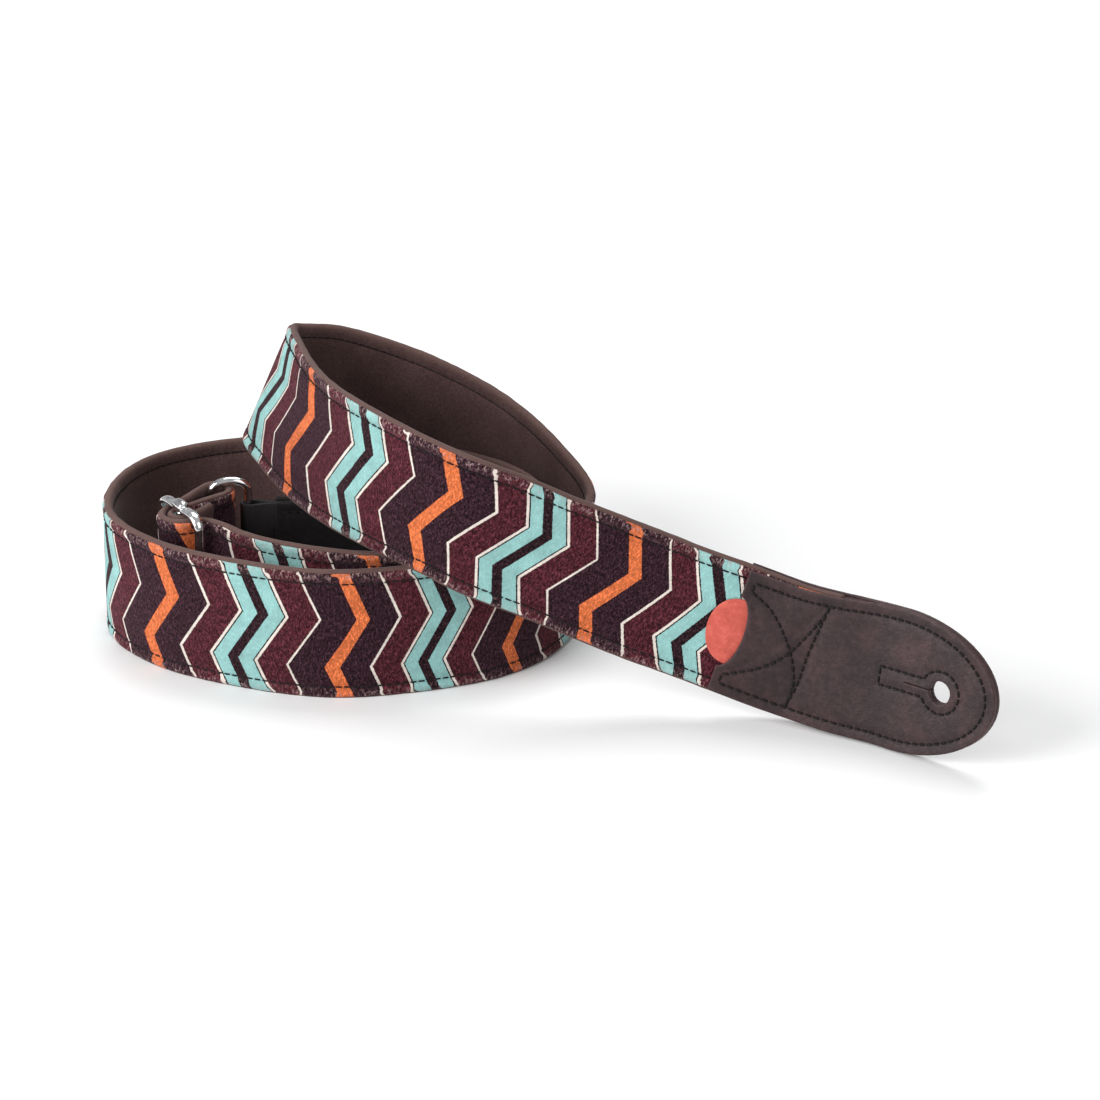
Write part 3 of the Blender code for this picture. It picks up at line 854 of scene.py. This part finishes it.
def build_pick():
    broad, narrow, half = 114, 86, 13.5
    reach = (broad - narrow) / 2
    outline = []
    for a in np.linspace(0, math.tau, 60, endpoint=False):
        y = half * math.sin(a) * (1 + 0.28 * math.cos(a)) / 1.08
        outline.append(((broad + narrow) / 2 + reach * math.cos(a), y))

    top, bottom = level(PICK[1]), level(PICK[0])
    plate("pick", outline, [], top, bottom, 0.25, 2.0, ribbon.place, CORAL, "pick", ["guitar_pick"])


# Hardware.


def rod(path, wide, tall):
    """Rings of a rod along a closed path. wide is half its width sideways, and tall is half its height."""
    run = np.roll(path, -1, axis=0) - np.roll(path, 1, axis=0)
    run /= np.linalg.norm(run, axis=1)[:, None]
    normal = np.cross(path[1] - path[0], path[len(path) // 3] - path[0])
    normal /= np.linalg.norm(normal)
    angles = np.arange(20) * math.tau / 20
    rings = []
    for point, ahead in zip(path, run):
        inward = np.cross(normal, ahead)
        spokes = np.outer(wide * np.cos(angles), normal) + np.outer(tall * np.sin(angles), inward)
        rings.append(point + spokes)
    return np.array(rings)


def level_way(angle):
    """The level direction at an angle in degrees."""
    return np.array([math.cos(math.radians(angle)), math.sin(math.radians(angle)), 0])


def upright_loop(centre, angle, half, low, high, corner, dip):
    """A closed path in an upright plane: straight sides and rounded ends, each with a dip in its middle."""
    ahead = level_way(angle)
    path = []
    for turn, (side, end) in enumerate(((1, high), (-1, high), (-1, low), (1, low))):
        up = end - corner[1] if end == high else end + corner[1]
        for a in np.radians(np.linspace(90 * turn, 90 * turn + 90, 12)):
            across = side * (half - corner[0]) + corner[0] * math.cos(a)
            path.append((across, up + corner[1] * math.sin(a)))
        if turn in (0, 2):
            for share in np.linspace(1, -1, 13)[1:-1]:
                across = side * share * (half - corner[0])
                sunk = dip * math.exp(-((across / 2.2) ** 2))
                path.append((across, end - math.copysign(sunk, end - HARDWARE_Z)))
        else:
            across = -half if turn == 1 else half
            path += [(across, z) for z in np.linspace(up, 2 * HARDWARE_Z - up, 12)[1:-1]]
    return np.array([np.array([*centre, 0]) + u * ahead + (0, 0, z) for u, z in path])


def ring_spot(share):
    """A point along the ring's short axis: 0 is the bar in the strap's fold, 1 is tab B's bar."""
    reach = RING_WIDTH * share * level_way(RING_ANGLE)
    return (RING_BAR[0] + reach[0], RING_BAR[1] + reach[1])


def slider_barrel(high):
    """A barrel over the centre bar's top end. Its shape is guessed, as little of it shows."""
    ahead = level_way(SLIDER_ANGLE)
    side = np.cross([0, 0, 1], ahead)
    angles = np.arange(24) * math.tau / 24
    circle = np.outer(np.cos(angles), side) + np.outer(np.sin(angles), [0, 0, 1])
    middle = np.array([*CENTRE_BAR, high + 0.7])
    rings = []
    for along, radius in ((-3, 1.7), (-2.8, 2.0), (-2.2, 2.2), (0, 2.35), (2.2, 2.2), (2.8, 2.0), (3, 1.7)):
        rings.append(middle + along * ahead + radius * circle)
    return np.array(rings)


def upright_bar(spot, radius, low, high):
    """Rings of an upright round bar."""
    angles = np.arange(20) * math.tau / 20
    circle = np.stack([radius * np.cos(angles), radius * np.sin(angles), 0 * angles], axis=1)
    return np.array([np.array([*spot, z]) + circle for z in np.linspace(low, high, 24)])


def build_hardware():
    low, high = ROD, 2 * HARDWARE_Z - ROD
    half = RING_WIDTH / 2
    frame_path = upright_loop(CENTRE_BAR, SLIDER_ANGLE, SLIDER_HALF, low, high, (5, 5), 0.4)
    ring_path = upright_loop(ring_spot(0.5), RING_ANGLE, half, low, high + 0.3, (half - 0.2, 3.8), 0)
    bar = upright_bar(CENTRE_BAR, ROD, low + 0.5, high - 0.5)
    for name, rings, closed, body, node in (
        ("slider", rod(frame_path, 2.1, 1.4), True, "slider", "slider_frame"),
        ("slider_bar", bar, False, "slider", "slider_centre_bar"),
        ("slider_barrel", slider_barrel(high), False, "slider", "slider_centre_bar"),
        ("ring", rod(ring_path, ROD, ROD), True, "ring", "oval_ring"),
    ):
        piece(name, rings.reshape(-1, 3), loft(rings, closed), CHROME, body, [node])


def build_tab_b():
    axis = ring_spot(1)
    middle = (TAB_B_Z[0] + TAB_B_Z[1]) / 2
    half = (TAB_B_Z[1] - TAB_B_Z[0]) / 2

    def place(x, up, n):
        x, up, n = np.broadcast_arrays(x, up, n)
        return np.stack([axis[0] + TAB_B_REACH - x, axis[1] - n, middle + up], axis=-1)

    end = TAB_B_REACH - 10
    outline = tab_outline(36, half, 0, end)
    border = tab_outline(36, half, 4, end - 3)
    dip = seam_dip([border, keyhole_seam()])

    def front_top(x, y):
        return eased(x, 45, 58, 2.2, 2.85) - dip(x, y)

    def front_bottom(x, y):
        return eased(x, 45, 58, 0.05, 1.5)

    def back_top(x, y):
        return -front_bottom(x, y)

    def back_bottom(x, y):
        return -front_top(x, y)

    hole = keyhole(0.1)
    for name, top, bottom, nodes in (
        ("front", front_top, front_bottom, ["tab_b_front_leather", "tab_b_stiffener"]),
        ("back", back_top, back_bottom, ["tab_b_back_leather"]),
    ):
        plate("tab_b_" + name, outline, [hole], top, bottom, 0.55, 1.6, place, BLACK, "tab_b", nodes)

    def on_front(x, y):
        return front_top(x, y) + THREAD_LIFT

    def on_back(x, y):
        return -on_front(x, y)

    for name, line in (("border", border), ("keyhole", keyhole_seam())):
        node = f"tab_b_{name}_thread"
        stitch_row("tab_b_stitches_" + name, line, place, on_front, THREAD, "tab_b", [node])
        stitch_row("tab_b_back_stitches_" + name, line, place, on_back, THREAD, "tab_b")

    # The loop strap goes round the ring's bar and back between the two leathers.
    inner, thick, reach = ROD + 0.25, 1.3, 34
    round_bar = inner + thick / 2
    leg = []
    for x in np.linspace(reach, 1, 18):
        leg.append((x, 0.1 + thick / 2 + (inner - 0.1) * math.exp(-(((x - 1) / 5) ** 2))))
    turn = [(round_bar * math.cos(a), round_bar * math.sin(a)) for a in np.radians(np.linspace(95, 265, 25))]
    line = np.array([*leg, *turn, *[(x, -y) for x, y in leg[::-1]]])
    run = np.gradient(line, axis=0)
    run /= np.linalg.norm(run, axis=1)[:, None]
    normal = np.stack([-run[:, 1], run[:, 0]], axis=1)
    upper = [(-0.5, 22.6), (-0.3, 23), (0.3, 23), (0.5, 22.6)]
    lower = [(0.5, -18.6), (0.3, -19), (-0.3, -19), (-0.5, -18.6)]
    section = upper + lower
    rings = []
    for spot, out in zip(line, normal):
        rings.append([(*(axis + spot + side * thick * out), middle + up) for side, up in section])
    rings = np.array(rings)
    worn = np.tile([0.5, 1, 1, 0.5, 0.5, 1, 1, 0.5], len(rings)) * 0.6
    piece("tab_b_loop", rings.reshape(-1, 3), loft(rings), BLACK, "tab_b", ["tab_b_ring_loop"], rim=worn)


def build_studio():
    """The pale floor, soft lights, and the camera, which looks down 25 degrees from in front."""
    bpy.ops.mesh.primitive_plane_add(size=14)
    floor = bpy.context.object
    floor.name = "studio_floor"
    floor.data.materials.append(floor_look())

    world = bpy.data.worlds.new("studio")
    world.use_nodes = True
    background = world.node_tree.nodes["Background"]
    background.inputs["Color"].default_value = (0.97, 0.98, 1, 1)
    background.inputs["Strength"].default_value = 0.43
    bpy.context.scene.world = world

    centre = (-MIDDLE[0] * MM, -MIDDLE[1] * MM, 0)
    target = Vector(centre)
    lights = [
        ("key", (-1.5, -0.9, 0.9), 1.3, 48),
        ("fill", (1.2, -1.3, 1.1), 1.4, 10),
        ("top", (0.1, 0.9, 1.8), 1.2, 26),
    ]
    for name, where, size, power in lights:
        light = bpy.data.lights.new(name, "AREA")
        light.size = size
        light.energy = power
        lamp = bpy.data.objects.new(name, light)
        lamp.location = where
        lamp.rotation_euler = (target - Vector(where)).to_track_quat("-Z", "Y").to_euler()
        bpy.context.scene.collection.objects.link(lamp)

    camera = bpy.data.objects.new("camera", bpy.data.cameras.new("camera"))
    camera.data.lens = 170.2
    camera.data.sensor_width = 36
    back = CAMERA_DISTANCE * math.cos(CAMERA_TILT)
    camera.location = (centre[0], centre[1] - back, CAMERA_DISTANCE * math.sin(CAMERA_TILT))
    camera.rotation_euler = (target - camera.location).to_track_quat("-Z", "Y").to_euler()
    bpy.context.scene.collection.objects.link(camera)
    bpy.context.scene.camera = camera
    bpy.context.scene.view_settings.view_transform = "Standard"


build_studio()
build_band()
build_tab_a()
build_pick()
build_hardware()
build_tab_b()
